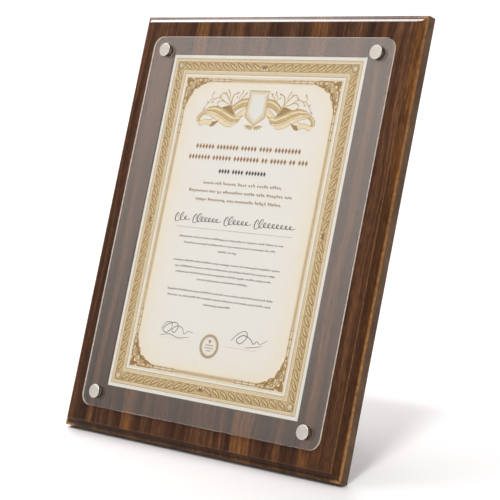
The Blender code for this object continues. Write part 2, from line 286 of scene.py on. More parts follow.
def makeWalnut(name, faceHalf, skinReach, roughness, shine):
    # faceHalf is where the flat face ends, skinReach how far the foil runs on over the cove
    look = walnutLook
    foil = Finish(name, roughness=roughness)
    coords = foil.add("ShaderNodeUVMap", uv_map="grain").outputs["UV"]
    spot = foil.split(coords)

    # the grain leans and wanders a little on its way up
    wander = foil.noise(coords, 9.0, 2.0, stretch=(0.6, 0.8, 1))
    shift = foil.add("ShaderNodeCombineXYZ", {"X": foil.span(wander, 0.0, 1.0, -look["lean"], look["lean"])})
    grain = foil.vectors("ADD", coords, shift.outputs[0])
    stripes = foil.noise(grain, look["stripeScale"], 3.0, 0.6, (1, 0.018, 1))
    colour = foil.ramp(stripes, [
        (0.30, look["deep"]), (0.41, look["dark"]), (0.50, look["middle"]),
        (0.58, look["light"]), (0.66, look["middle"]), (0.80, look["dark"])])
    # honey-coloured leaves with a firm border
    leaves = foil.noise(grain, look["leafScale"], 1.0, stretch=(1, 0.012, 1))
    colour = foil.mix(foil.ramp(leaves, [(0.57, 0.0), (0.60, 0.55), (0.70, 0.85)]), colour, look["honey"])
    # the far right cove gets a painted warm highlight, mottled in patches
    patches = foil.noise(coords, 60.0, 4.0, 0.65, (1.5, 0.35, 1))
    atCove = foil.span(spot["X"], faceHalf[0], faceHalf[0] + 3 * mm, 0.0, 0.9)
    paintedRightCoveMask = foil.maths("MULTIPLY", atCove, foil.span(patches, 0.40, 0.56, 0.4, 1.0))
    colour = foil.mix(paintedRightCoveMask, colour, look["rightCoveHighlight"])

    streaks = foil.noise(grain, look["streakScale"], 4.0, 0.6, (1, 0.035, 1))
    tone = foil.ramp(streaks, [(0.34, 0.62), (0.5, 0.98), (0.66, 1.40)])
    colour = foil.mix(0.9, colour, tone, "MULTIPLY")
    fibres = foil.noise(grain, look["fibreScale"], 3.0, 0.6, (1, 0.11, 1))
    tone = foil.ramp(fibres, [(0.32, 0.55), (0.5, 1.0), (0.68, 1.55)])
    colour = foil.mix(0.85, colour, tone, "MULTIPLY")
    pores = foil.noise(grain, look["poreScale"], 2.0, stretch=(1, 0.05, 1))
    poreMask = foil.ramp(pores, [(0.30, 0.85), (0.39, 0.0)])
    colour = foil.mix(poreMask, colour, look["pore"])

    # how far past the flat face each point lies
    past = [foil.maths("SUBTRACT", foil.maths("ABSOLUTE", spot[axis]), half)
            for axis, half in zip("XY", faceHalf)]
    beyond = foil.maths("MAXIMUM", *past)
    # painted shade in the hollow of the cove, darker low down
    inside = foil.span(beyond, 0.9 * mm, 2.0 * mm, 0.0, 0.72)
    outside = foil.span(beyond, skinReach - 3.0 * mm, skinReach - 1.7 * mm, 1.0, 0.0)
    paintedCoveShade = foil.maths("MULTIPLY", inside, outside)
    paintedCoveShade = foil.maths("MULTIPLY", paintedCoveShade, foil.span(spot["Y"], 0.02, 0.13, 1.0, 0.2))
    colour = foil.mix(paintedCoveShade, colour, look["coveShade"])
    # both arrises are painted light, partly rubbed wear and partly painted highlight, more so at the sides and
    # low down
    atSide = foil.span(past[0], -1.0 * mm, 1.0 * mm, 0.22, 1.0)
    lowDown = foil.span(spot["Y"], -0.16, 0.16, 1.0, 0.5)
    rub = foil.noise(coords, 240.0, 5.0, 0.7)
    for low, high, fade, amount in ((0.0, 0.9 * mm, 0.35 * mm, 0.5),
                                    (skinReach - 2.3 * mm, skinReach, 0.6 * mm, 0.9)):
        mask = foil.span(beyond, low - fade, low + fade, 0.0, 1.0)
        for share in (foil.span(beyond, high - fade, high + fade, 1.0, 0.0),
                      foil.span(rub, 0.36, 0.60, amount * 0.15, amount), atSide, lowDown):
            mask = foil.maths("MULTIPLY", mask, share)
        colour = foil.mix(mask, colour, look["rubbedAndLit"])

    foil.set({"Base Color": colour, "Specular IOR Level": shine,
              "Roughness": foil.span(streaks, 0.3, 0.7, roughness + 0.07, roughness - 0.06)})
    foil.bump(foil.mix(0.5, fibres, poreMask, "SUBTRACT"), 0.25, 0.00006)
    return foil


# the rim's glow is painted light
acrylicLook = {"marginReflect": 0.104, "sheetReflect": 0.024, "roughness": 0.03, "tint": (0.985, 0.99, 0.985),
               "edge": (0.93, 0.87, 0.79), "edgeDark": (0.66, 0.58, 0.49), "paintedGlow": 0.2}


def makeAcrylic():
    # a clear pane that mirrors a little head on and more at a glance
    look = acrylicLook
    pane = Finish("clearAcrylic", (1, 1, 1), look["roughness"], 1.0)
    facing = pane.add("ShaderNodeLayerWeight", {"Blend": 0.5}).outputs["Facing"]
    # the veil lies over the margin and clears where the sheet presses on the pane
    fromMiddle = pane.vectors("SUBTRACT", pane.coords(), (sheetLow + sheetHigh) / 2)
    past = pane.vectors("SUBTRACT", pane.vectors("ABSOLUTE", fromMiddle), (sheetHigh - sheetLow) / 2)
    past = pane.split(past)
    further = pane.maths("MAXIMUM", past["X"], past["Y"])
    headOn = pane.span(further, -0.4 * mm, 0.2 * mm, look["sheetReflect"], look["marginReflect"])
    through = pane.add("ShaderNodeBsdfTransparent", {"Color": look["tint"]})
    mirrored = pane.add("ShaderNodeMixShader", {
        "Fac": pane.span(pane.maths("POWER", facing, 5.0), 0.0, 1.0, headOn, 1.0),
        1: through.outputs[0], 2: pane.shader.outputs[0]})
    pane.plug(pane.tree.nodes["Material Output"].inputs["Surface"], mirrored.outputs[0])
    return pane


def makeAcrylicEdge():
    # the sawn and polished rim, with a painted glow that makes it read bright
    look = acrylicLook
    rim = Finish("acrylicEdge", look["edge"], 0.25)
    saw = rim.noise(rim.coords(), 420.0, 3.0, stretch=(1, 1, 0.1))
    tone = rim.ramp(saw, [(0.3, look["edgeDark"]), (0.6, look["edge"])])
    rim.set({"Base Color": tone, "Emission Color": tone, "Emission Strength": look["paintedGlow"]})
    rim.bump(saw, 0.15, 0.00005)
    return rim


paperLook = {"white": (0.850, 0.825, 0.775), "shade": (0.815, 0.785, 0.73), "roughness": 0.62}
paperSkin = {"skin": (2600.0, 4.0, 0.65), "gloss": (0.7, 0.55), "relief": (0.25, 0.00003),
             "specks": (1.0, [(0.3, 0.955), (0.7, 1.02)])}
fieldLook = {"middle": (0.835, 0.810, 0.775), "rim": (0.850, 0.755, 0.610), "halfWidth": 0.083,
             "halfHeight": 0.128}


def makeField():
    # the tinted middle of the sheet, warmer towards its frame
    look = fieldLook
    field = Finish("fieldTint", look["middle"], paperLook["roughness"])
    coords = field.coords()
    fromMiddle = field.vectors("SUBTRACT", coords, (sheetLow + sheetHigh) / 2)
    scaled = field.vectors("MULTIPLY", fromMiddle, (1 / look["halfWidth"], 1 / look["halfHeight"], 0))
    spot = field.split(scaled)
    total = field.maths("ADD", *(field.maths("POWER", field.maths("ABSOLUTE", spot[axis]), power)
                                 for axis, power in (("X", 5.0), ("Y", 9.0))))
    patchy = field.maths("MULTIPLY", total, field.span(field.noise(coords, 55.0), 0.3, 0.7, 0.75, 1.15))
    field.coat(field.ramp(patchy, [(0.0, look["middle"]), (1.0, look["rim"])]), **paperSkin)
    return field


# printing inks: name, light tone, dark tone
inkTones = {
    "frameTint": ((0.7954, 0.6978, 0.5417), (0.7662, 0.6588, 0.4978)),
    "bandInk": ((0.6295, 0.4685, 0.2489), (0.5466, 0.3855, 0.1806)),
    "bandRimInk": ((0.7271, 0.61, 0.4197), (0.6686, 0.5368, 0.3416)),
    "leafInk": ((0.3221, 0.1806, 0.03904), (0.244, 0.1269, 0.02318)),
    "leafBodyInk": ((0.7271, 0.571, 0.3367), (0.649, 0.4782, 0.2489)),
    "leafLightInk": ((0.8882, 0.7906, 0.5856), (0.8296, 0.7027, 0.4685)),
    "scrollInk": ((0.4941, 0.2867, 0.05124), (0.3843, 0.2013, 0.02928)),
    "frameInk": ((0.5954, 0.4294, 0.1903), (0.4978, 0.3318, 0.122)),
    "ribbonInk": ((0.6344, 0.4636, 0.2342), (0.5319, 0.3611, 0.1513)),
    "ribbonLightInk": ((0.8589, 0.7515, 0.5466), (0.7808, 0.6442, 0.4197)),
    "ribbonDarkInk": ((0.3904, 0.2489, 0.08784), (0.3074, 0.1806, 0.0549)),
    "shieldDarkInk": ((0.3904, 0.2489, 0.08784), (0.3074, 0.1806, 0.0549)),
    "shieldGoldInk": ((0.732, 0.5917, 0.3843), (0.6649, 0.5185, 0.3111)),
    "shieldInk": ((0.7662, 0.6881, 0.5661), (0.7271, 0.6393, 0.5075)),
    "shieldLightInk": ((0.7954, 0.7808, 0.7515), (0.7662, 0.7466, 0.7125)),
    "titleInk": ((0.3611, 0.1952, 0.061), (0.2928, 0.1513, 0.0427)),
    "darkInk": ((0.040, 0.037, 0.036), (0.027, 0.025, 0.024)),
}

edgeLook = {"colour": (0.165, 0.099, 0.057), "dark": (0.095, 0.054, 0.030), "roughness": 0.55, "shine": 0.1}
nickelLook = {"light": (0.75, 0.72, 0.67), "dark": (0.67, 0.64, 0.59), "roughness": 0.42,
              # the sides are a dark copy of the nickel, painted shade for the dark they mirror
              "side": (0.070, 0.065, 0.060), "sideDark": (0.035, 0.032, 0.029), "sideRoughness": 0.10}
legGrain = (600.0, 4.0, 0.6, (1, 0.04, 1))     # black-stained board with a faint lengthwise grain

print("materials")
edgePaint = makeSurface("edgePaint", edgeLook["colour"], edgeLook["dark"], edgeLook["roughness"],
                        (45.0, 5.0, 0.6), (0.35, 0.65), skin=(1400.0, 3.0, 0.7), gloss=(0.62, 0.42),
                        relief=(0.35, 0.0001), specks=(0.8, [(0.35, 0.72), (0.62, 1.12)]))
edgePaint.set({"Specular IOR Level": edgeLook["shine"]})
nickel = makeSurface("satinNickel", nickelLook["light"], nickelLook["dark"], nickelLook["roughness"],
                     (260.0, 3.0), metallic=1.0, skin=(5200.0, 2.0), gloss=(0.36, 0.48), relief=(0.12, 0.00002))
# the caps' polished sides, darkened as painted shade
nickelShadedSide = makePlated("polishedNickelShaded", nickelLook["side"], nickelLook["sideDark"],
                        nickelLook["sideRoughness"], 1500.0)
zinc = makePlated("zincSteel", (0.66, 0.67, 0.68), (0.50, 0.50, 0.50), 0.32)
brass = makePlated("turnedBrass", (0.78, 0.60, 0.28), (0.60, 0.43, 0.17), 0.32)
nylon = makeMatt("clearNylon", (0.78, 0.78, 0.75), (0.70, 0.70, 0.66), 0.3, 700.0, 0.00003)
blackSteel = makeMatt("blackSteel", (0.030, 0.030, 0.032), (0.018, 0.018, 0.019), 0.42, 1500.0, 0.00005, 0.3)
rubber = makeMatt("blackRubber", (0.028, 0.028, 0.028), (0.016, 0.016, 0.016), 0.82, 1800.0, 0.0001)
legBoard = makeSurface("blackBoard", (0.040, 0.034, 0.030), (0.010, 0.009, 0.008), 0.5, legGrain,
                       skin=legGrain, gloss=(0.62, 0.44), relief=(0.35, 0.00008))
acrylic = makeAcrylic()
acrylicEdge = makeAcrylicEdge()
paper = makeSurface("sheetPaper", paperLook["white"], paperLook["shade"], paperLook["roughness"], (90.0,),
                    **paperSkin)
fieldTint = makeField()
inks = {name: makeSurface(name, light, dark, 0.55, (320.0, 4.0, 0.6), (0.32, 0.68), skin=(2600.0, 3.0),
                          gloss=(0.62, 0.48))
        for name, (light, dark) in inkTones.items()}


skinShape = {
    "coveSteps": 18,
    "faceRound": 0.7 * mm,     # soft arris between face and cove
    "rimRound": 0.5 * mm,      # soft arris between cove and side
    "thickness": 0.4 * mm,
    "holeRadius": 3.95 * mm,
}


def skinProfile():
    # (inset from the side, height, distance along the foil) from the rim in to the face
    shape = skinShape
    radius = foilHigh.z - foilLow.z - shape["thickness"]
    face = foilHigh.z
    points = []
    for step in range(shape["coveSteps"] + 1):
        angle = math.pi / 2 * step / shape["coveSteps"]
        points.append([radius * math.sin(angle), face - radius * math.cos(angle)])
    # ease both arrises: the first and the last stretch bend over a short way
    rim, easing = points[0], shape["rimRound"]
    start = [[rim[0], rim[1] - easing * 0.9], [rim[0] + easing * 0.15, rim[1] - easing * 0.35],
             [rim[0] + easing * 0.55, rim[1] - easing * 0.05]]
    edge, easing = points[-1], shape["faceRound"]
    end = []
    for step in range(4):
        angle = math.pi / 2 * (step + 1) / 4
        end.append([edge[0] + easing * (1 - math.cos(angle)), edge[1] - easing * (1 - math.sin(angle))])
    low = [point for point in points if point[0] > easing and point[1] < face - easing]
    wall = [[edge[0], face - easing]]
    flat = [[end[-1][0] + 0.4 * mm, face]]
    return start + low + wall + end + flat


def addRectangle(bm, inset, height):
    left, right = boardLow.x + inset, boardHigh.x - inset
    bottom, top = boardLow.y + inset, boardHigh.y - inset
    return [bm.verts.new((x, y, height))
            for x, y in ((left, bottom), (right, bottom), (right, top), (left, top))]


def drillCorners(piece, radius, depth, level):
    # cuts the four holes for the fixings
    cutter = bmesh.new()
    for corner in corners:
        low, high = boardBox("cap_" + corner)
        middle = (low + high) / 2
        bmesh.ops.create_cone(cutter, cap_ends=True, segments=40, radius1=radius, radius2=radius, depth=depth,
                              matrix=Matrix.Translation((middle.x, middle.y, level)))
    holes = newObject("holes", cutter)
    addModifier(piece, "BOOLEAN", object=holes, operation="DIFFERENCE", solver="EXACT")
    return holes


def makeSkin():
    profile = skinProfile()
    lengths = [0.0]
    for start, end in zip(profile, profile[1:]):
        lengths.append(lengths[-1] + math.hypot(end[0] - start[0], end[1] - start[1]))
    total = lengths[-1]
    faceInset, faceHeight = profile[-1]
    faceHalf = (boardHigh.x - faceInset, (boardHigh.y - boardLow.y) / 2 - faceInset)
    look = walnutLook
    walnut = makeWalnut("walnutFoil", faceHalf, total, look["roughness"], look["shine"])
    walnutCove = makeWalnut("walnutCove", faceHalf, total, look["coveRoughness"], look["coveShine"])
    walnutCove.set({"Coat Weight": 1.0, "Coat Roughness": look["lacquerRoughness"],
                    "Coat IOR": look["lacquerIor"]})
    bm = bmesh.new()
    grain = bm.loops.layers.uv.new("grain")
    rings = [addRectangle(bm, inset, height) for inset, height in profile]
    spread = {}
    for ring, length in zip(rings, lengths):
        for vert, (sideX, sideY) in zip(ring, ((-1, -1), (1, -1), (1, 1), (-1, 1))):
            reach = total - length
            spread[vert] = (sideX * (faceHalf[0] + reach), sideY * (faceHalf[1] + reach))
    topSide = 2
    for (inset, height), lower, upper in zip(profile, rings, rings[1:]):
        for here in range(4):
            there = (here + 1) % 4
            strip = bm.faces.new((lower[here], lower[there], upper[there], upper[here]))
            strip.material_index = 1 if here == topSide and height < faceHeight - 1e-6 else 0
    bm.faces.new(rings[-1])
    for face in bm.faces:
        for loop in face.loops:
            loop[grain].uv = spread[loop.vert]
    skin = newObject("walnutSkin", bm)
    paint(skin, [walnut, walnutCove])
    addModifier(skin, "SOLIDIFY", thickness=skinShape["thickness"], offset=-1, use_even_offset=True)
    holes = drillCorners(skin, skinShape["holeRadius"], 6 * mm, foilHigh.z)
    bake(skin)
    bpy.data.objects.remove(holes)
    smooth(skin, 40)
    settle(skin, [walnut, walnutCove], "board", ["walnut_foil"])


print("board")
makeSkin()
paint(frame["nodes"]["board_core"], [edgePaint])


coverShape = {"cornerRadius": 10 * mm, "cornerSteps": 14, "holeRadius": 3 * mm, "edgeBevel": 0.25 * mm}


def makeCover():
    size = coverHigh - coverLow
    middle = (coverHigh + coverLow) / 2
    bm = bmesh.new()
    bmesh.ops.create_cube(bm, size=1, matrix=Matrix.Translation(middle) @ Matrix.Diagonal((*size, 1)))
    upright = [edge for edge in bm.edges if abs(edge.verts[0].co.z - edge.verts[1].co.z) > size.z / 2]
    bmesh.ops.bevel(bm, geom=upright, offset=coverShape["cornerRadius"], profile=0.5, affect="EDGES",
                    segments=coverShape["cornerSteps"])
    cover = newObject("acrylicCover", bm)
    holes = drillCorners(cover, coverShape["holeRadius"], 8 * mm, middle.z)
    addModifier(cover, "BEVEL", width=coverShape["edgeBevel"], segments=1, limit_method="ANGLE",
                angle_limit=math.radians(50))
    bake(cover)
    bpy.data.objects.remove(holes)
    smooth(cover, 30)
    for face in cover.data.polygons:
        face.material_index = 1 if abs(face.normal.z) < 0.5 else 0
    settle(cover, [acrylic, acrylicEdge], "board", ["acrylic_cover"])


print("cover")
makeCover()
paint(frame["nodes"]["certificate_sheet"], [paper])


# The print is drawn in millimetres from the middle of the sheet, and each ink
# lies on a level of its own above the paper.
sheetMiddle = (sheetLow + sheetHigh) / 2
sheetHalf = ((sheetHigh.x - sheetLow.x) / 2 / mm, (sheetHigh.y - sheetLow.y) / 2 / mm)
inkThickness = 0.012
inkLevels = {
    "frameTint": 0.004, "fieldTint": 0.012, "bandInk": 0.012, "bandRimInk": 0.012, "shieldInk": 0.097,
    "frameInk": 0.03, "leafInk": 0.05, "leafBodyInk": 0.03, "leafLightInk": 0.07, "scrollInk": 0.09,
    "ribbonDarkInk": 0.03, "ribbonInk": 0.05, "ribbonLightInk": 0.056, "shieldDarkInk": 0.075,
    "shieldGoldInk": 0.085, "shieldLightInk": 0.11, "titleInk": 0.05, "darkInk": 0.05,
}
inkMeshes = {name: bmesh.new() for name in inkLevels}


def inkPoint(bm, x, y):
    return bm.verts.new((sheetMiddle.x + x * mm, sheetMiddle.y + y * mm, 0))


def drawShape(ink, outline):
    # a filled outline
    bm = inkMeshes[ink]
    bm.faces.new([inkPoint(bm, x, y) for x, y in outline])


def drawStroke(ink, path, widths, closed=False):
    # a line with a width at each point, given once or as a list
    bm = inkMeshes[ink]
    if not isinstance(widths, (list, tuple)):
        widths = [widths] * len(path)
    count = len(path)
    left, right = [], []
    for place in range(count):
        if closed:
            before, after = path[place - 1], path[(place + 1) % count]
        else:
            before, after = path[max(place - 1, 0)], path[min(place + 1, count - 1)]
        runX, runY = after[0] - before[0], after[1] - before[1]
        length = math.hypot(runX, runY) or 1.0
        half = widths[place] / 2
        offX, offY = -runY / length * half, runX / length * half
        left.append(inkPoint(bm, path[place][0] + offX, path[place][1] + offY))
        right.append(inkPoint(bm, path[place][0] - offX, path[place][1] - offY))
    for here in range(count if closed else count - 1):
        there = (here + 1) % count
        bm.faces.new((right[here], right[there], left[there], left[here]))


def drawPen(ink, path, width, start=0.25, end=0.25):
    # a stroke that swells in the middle; start and end are shares of its width
    widths = []
    for place in range(len(path)):
        along = place / (len(path) - 1)
        ends = start + (end - start) * along
        widths.append(width * (ends + (1 - ends) * math.sin(math.pi * along) ** 0.7))
    drawStroke(ink, path, widths)


def arcPath(centre, radius, fromDegrees, toDegrees, steps):
    made = []
    for step in range(steps + 1):
        angle = math.radians(fromDegrees + (toDegrees - fromDegrees) * step / steps)
        made.append((centre[0] + radius * math.cos(angle), centre[1] + radius * math.sin(angle)))
    return made


def disc(centre, radius, sides=8):
    return arcPath(centre, radius, 0, 360 - 360 / sides, sides - 1)


def smoothPath(points, steps=6):
    # a soft curve through given points
    made = []
    count = len(points)
    for place in range(count - 1):
        before = points[max(place - 1, 0)]
        start, end = points[place], points[place + 1]
        after = points[min(place + 2, count - 1)]
        for step in range(steps):
            t = step / steps
            made.append(tuple(
                0.5 * (2 * s + (e - b) * t + (2 * b - 5 * s + 4 * e - a) * t * t
                       + (3 * s - b - 3 * e + a) * t ** 3)
                for b, s, e, a in zip(before, start, end, after)))
    made.append(points[-1])
    return made


def scrollPath(centre, radius, startDegrees, turns, direction=1, steps=14, endShare=0.12):
    # a spiral that winds in from its outer end
    made = []
    total = max(4, int(steps * turns))
    for step in range(total + 1):
        along = step / total
        size = radius * (1 - (1 - endShare) * along ** 0.85)
        angle = math.radians(startDegrees + direction * 360 * turns * along)
        made.append((centre[0] + size * math.cos(angle), centre[1] + size * math.sin(angle)))
    return made


def ringShape(ink, outer, inner):
    # a frame between two insets from the sheet's edge
    rings = []
    for inset in (outer, inner):
        x, y = sheetHalf[0] - inset, sheetHalf[1] - inset
        rings.append([(-x, -y), (x, -y), (x, y), (-x, y)])
    for here in range(4):
        there = (here + 1) % 4
        drawShape(ink, [rings[0][here], rings[0][there], rings[1][there], rings[1][here]])


def mirrored(draw):
    # runs a drawing for the four corners
    for flipX in (1, -1):
        for flipY in (1, -1):
            draw(lambda points, fx=flipX, fy=flipY: [(x * fx, y * fy) for x, y in points])


borderShape = {
    "bandOuter": 3.0, "leafOuter": 6.1, "leafInner": 13.6, "bandInner": 17.3, "frameTint": 18.9,
    "frameOuter": 20.0, "frameInner": 24.6, "fieldRadius": 22.0,
    "leafPitch": 8.85, "palmHalf": 4.6, "rosetteHalf": 3.6, "leafStart": 4.9,
    # measured in from the corners
    "railStart": 46.0, "knots": (56.0, 63.0, 70.0), "ropeStart": 71.5, "ropePitch": 4.4,
}


# each side's middle, its direction, the way in and its half length
halfX, halfY = sheetHalf
borderSides = [((0, halfY), (1, 0), (0, -1), halfX), ((0, -halfY), (-1, 0), (0, 1), halfX),
               ((-halfX, 0), (0, 1), (1, 0), halfY), ((halfX, 0), (0, -1), (-1, 0), halfY)]


def onSide(side, path):
    # carries (along, inward) points onto one side of the sheet
    origin, run, into, _ = side
    return [(origin[0] + run[0] * x + into[0] * y, origin[1] + run[1] * x + into[1] * y) for x, y in path]


def drawBorderLeaf(side, along, direction):
    # one plump leaf of the border: pale body, dark outline, light rim and a short vein
    shape = borderShape
    low, high = shape["leafOuter"] + 0.5, shape["leafInner"] - 0.5
    depth, pitch = high - low, shape["leafPitch"]
    steps = 8
    back, front = [], []
    for step in range(steps + 1):
        t = step / steps
        bulge = math.sin(math.pi * t)
        lean = pitch * (-0.48 + 0.88 * t)
        level = high - depth * t
        back.append((along + direction * (lean - pitch * 0.36 * bulge ** 0.8), level))
        front.append((along + direction * (lean + pitch * 0.19 * bulge), level))
    shine = [(x - direction * pitch * 0.10, y) for x, y in front[1:-1]]
    vein = [(bx * 0.62 + fx * 0.38, by) for (bx, by), (fx, _) in zip(back, front)][2:-1]
    drawShape("leafBodyInk", onSide(side, back + front[-2:0:-1]))
    for ink, path, *widths in (("leafInk", front, 1.25, 0.45, 0.7), ("leafInk", back, 0.8, 0.6, 0.5),
                               ("leafLightInk", shine, 0.45), ("leafInk", vein, 0.5, 0.2, 0.7)):
        drawPen(ink, onSide(side, path), *widths)


def drawCentrePalm(side):
    # mirrored spray in the middle of each side
    middle = (borderShape["leafOuter"] + borderShape["leafInner"]) / 2
    for direction in (-1, 1):
        for lean, reach in ((0.15, 3.1), (0.6, 3.4), (1.05, 3.3), (1.5, 2.9)):
            path = [(direction * reach * t * math.sin(lean) * 1.3,
                     middle + 2.4 - reach * 1.35 * t * math.cos(lean * 0.7))
                    for t in (step / 5 for step in range(6))]
            drawPen("leafInk", onSide(side, path), 1.15, 0.4, 0.3)
        curl = scrollPath((direction * 2.6, middle + 1.6), 1.4, 90, 1.2, -direction)
        drawStroke("leafLightInk", onSide(side, curl), 0.35)
    drawShape("leafLightInk", onSide(side, disc((0, middle + 2.3), 0.75, 12)))


def drawBorder():
    shape = borderShape
    ringShape("bandRimInk", shape["bandOuter"], shape["leafOuter"])
    ringShape("bandInk", shape["leafOuter"], shape["leafInner"])
    ringShape("bandRimInk", shape["leafInner"], shape["bandInner"])
    for ink, inset, width in (
            ("leafInk", shape["bandOuter"] + 0.15, 0.3), ("leafInk", shape["leafOuter"], 0.35),
            ("leafInk", shape["leafInner"], 0.3), ("leafInk", shape["bandInner"] - 0.15, 0.3),
            ("leafLightInk", shape["leafOuter"] - 0.9, 0.28), ("leafLightInk", shape["leafInner"] + 0.8, 0.28)):
        ringShape(ink, inset - width / 2, inset + width / 2)
    cornerSpot = (shape["leafOuter"] + shape["leafInner"]) / 2
    for side in borderSides:
        room = side[3] - cornerSpot - shape["rosetteHalf"] - shape["palmHalf"]
        count = round(room / shape["leafPitch"])
        pitch = room / count
        for direction in (-1, 1):
            for place in range(count):
                along = direction * (shape["leafStart"] + pitch * (place + 0.5))
                drawBorderLeaf(side, along, direction)
        drawCentrePalm(side)

    def rosette(flip):
        centre = (halfX - cornerSpot, halfY - cornerSpot)
        drawShape("bandRimInk", flip(disc(centre, 3.5, 24)))
        drawStroke("leafInk", flip(disc(centre, 2.9, 24)), 0.7, closed=True)
        for petal in disc(centre, 1.9):
            drawShape("leafLightInk", flip(disc(petal, 0.55, 6)))
        drawShape("leafLightInk", flip(disc(centre, 1.15, 12)))
        drawStroke("leafInk", flip(disc(centre, 1.25, 24)), 0.3, closed=True)

    mirrored(rosette)


def drawFieldTint():
    shape = borderShape
    x, y = sheetHalf[0] - shape["frameInner"], sheetHalf[1] - shape["frameInner"]
    radius = shape["fieldRadius"]
    outline = []
    for turn, (sideX, sideY) in enumerate(((1, 1), (-1, 1), (-1, -1), (1, -1))):
        centre = (sideX * (x - radius), sideY * (y - radius))
        outline += arcPath(centre, radius, 90 * turn, 90 * turn + 90, 12)
    frameX, frameY = sheetHalf[0] - shape["frameTint"], sheetHalf[1] - shape["frameTint"]
    drawShape("frameTint", [(frameX, frameY), (-frameX, frameY), (-frameX, -frameY), (frameX, -frameY)])
    drawShape("fieldTint", outline)


def drawInnerFrame():
    # two fine rails with knots, and a plaited run in the middle of each side
    shape = borderShape
    low, high = shape["frameOuter"] + 0.4, shape["frameInner"] - 0.7
    middle, gap = (low + high) / 2, (high - low) / 2
    for side in borderSides:
        length = side[3]
        ropeEnd = length - shape["ropeStart"]
        for direction in (-1, 1):
            for level in (middle - 1.0, middle + 1.0):
                rail = [(direction * ropeEnd, level), (direction * (length - shape["railStart"]), level)]
                drawStroke("scrollInk", onSide(side, rail), 0.58)
            for knot in shape["knots"]:
                spot = direction * (length - knot)
                for level in (middle - 1.0, middle + 1.0):
                    drawShape("scrollInk", onSide(side, [(spot - 1.25, level), (spot, level - 0.75),
                                                         (spot + 1.25, level), (spot, level + 0.75)]))
                drawStroke("scrollInk", onSide(side, [(spot, middle - 1.8), (spot, middle + 1.8)]), 0.45)
        waves = max(2, round(2 * ropeEnd / shape["ropePitch"]))
        steps = waves * 10
        for phase in (0, math.pi):
            path = [(-ropeEnd + 2 * ropeEnd * step / steps,
                     middle + 0.78 * gap * math.sin(2 * math.pi * waves * step / steps + phase))
                    for step in range(steps + 1)]
            drawStroke("frameInk", onSide(side, path), 0.5)
        for bead in range(waves * 2):
            along = -ropeEnd + 2 * ropeEnd * (bead + 0.5) / (waves * 2)
            drawShape("scrollInk", onSide(side, disc((along, middle), 0.46, 6)))


def leafOutline(start, end, width):
    # a pointed leaf between two points
    runX, runY = end[0] - start[0], end[1] - start[1]
    length = math.hypot(runX, runY)
    alongX, alongY = runX / length, runY / length
    made = []
    for t, w in ((0, 0), (0.25, 0.8), (0.5, 1.0), (0.78, 0.6), (1, 0), (0.78, -0.6), (0.5, -1.0), (0.25, -0.8)):
        made.append((start[0] + runX * t - alongY * width / 2 * w,
                     start[1] + runY * t + alongX * width / 2 * w))
    return made


# curls of a corner, from the frame's corner: centre, radius, start, turns, direction, width
cornerScrolls = [
    ((4.3, 12.3), 3.3, 250, 1.6, -1, 0.75),
    ((2.9, 4.9), 2.2, 80, 1.4, 1, 0.7),
    ((2.5, 18.9), 2, 260, 1.4, 1, 0.62),
    ((2, 23.9), 1.4, 250, 1.2, -1, 0.5),
    ((8.3, 12.6), 1.5, 120, 1.2, 1, 0.5),
    ((5.4, 17.6), 1.3, 60, 1.2, -1, 0.45),
    ((6, 2.4), 1.3, 200, 1.2, -1, 0.5),
]
cornerStems = [
    [(0.8, 0.8), (3.4, 5), (4.6, 8), (7.2, 11.6)],
    [(7.2, 11.6), (7.6, 15), (4.6, 17.2), (3.2, 20.6)],
    [(1, 8.4), (0.9, 13.6), (1, 17.4), (0.8, 22.4), (1.2, 27)],
    [(4.4, 15.4), (6.4, 19), (4.6, 22.4), (3.4, 26.4)],
    [(8.9, 10.4), (9.6, 13.8), (7.4, 17.2)],
]
cornerLeaves = [
    ((1.4, 1.4), (5.2, 1), 1.6), ((6.2, 3.4), (9.4, 2.2), 1.3), ((1.4, 8.2), (0.7, 11.4), 1.1),
    ((6.4, 14.6), (8.2, 17.6), 1.2), ((1.6, 15.4), (0.8, 18), 1), ((4, 21), (5.6, 23.6), 1.1),
    ((2.6, 26), (2.2, 29.4), 1.2), ((4.4, 7.6), (2.6, 9.2), 1), ((0.9, 21.6), (0.5, 24), 0.8),
    ((3.4, 14.8), (4.6, 16.6), 0.9), ((9.6, 8.6), (12.2, 7.2), 1),
]


def drawCorner(flip):
    # filigree that fills the corner outside the rounded field
    shape = borderShape
    cornerX, cornerY = sheetHalf[0] - shape["frameOuter"], sheetHalf[1] - shape["frameOuter"]
    roundAt = shape["frameInner"] - shape["frameOuter"] + shape["fieldRadius"]

    def placed(points, swap):
        return flip([(cornerX - (y if swap else x), cornerY - (x if swap else y)) for x, y in points])

    roundSpot, radius = (roundAt, roundAt), shape["fieldRadius"]
    for swap in (False, True):
        # a horn that sweeps round the field and runs out into the rails
        horn = arcPath(roundSpot, radius + 0.9, 222, 268, 9)
        path = horn + [(roundAt + 2.5, roundAt - radius - 1.6)]
        drawPen("scrollInk", placed(path, swap), 1.25, 0.5, 0.4)
        drawStroke("scrollInk", placed(arcPath(roundSpot, radius + 2.6, 232, 262, 8), swap), 0.4)
        drawShape("scrollInk", placed(disc(horn[0], 1.0), swap))
        for centre, size, start, turns, direction, width in cornerScrolls:
            spiral = scrollPath(centre, size, start, turns, direction)
            drawPen("scrollInk", placed(spiral, swap), width * 1.4, 0.6, 0.9)
            drawShape("scrollInk", placed(disc(spiral[-1], width * 0.7, 6), swap))
        for stem in cornerStems:
            drawPen("scrollInk", placed(smoothPath(stem, 5), swap), 1.0, 0.7, 0.3)
        for start, end, width in cornerLeaves:
            drawShape("scrollInk", placed(leafOutline(start, end, width * 1.25), swap))
    drawStroke("scrollInk", placed(scrollPath((7.4, 7.4), 2.7, 45, 1.6, 1), False), 0.75)
    for spot, size in (((1.0, 1.0), 0.8), ((11.2, 9.6), 0.5), ((9.6, 11.2), 0.5)):
        drawShape("scrollInk", placed(disc(spot, size), False))


emblem = {"shieldWidth": 21.5, "shieldTop": 117.6, "shieldPoint": 88.0}


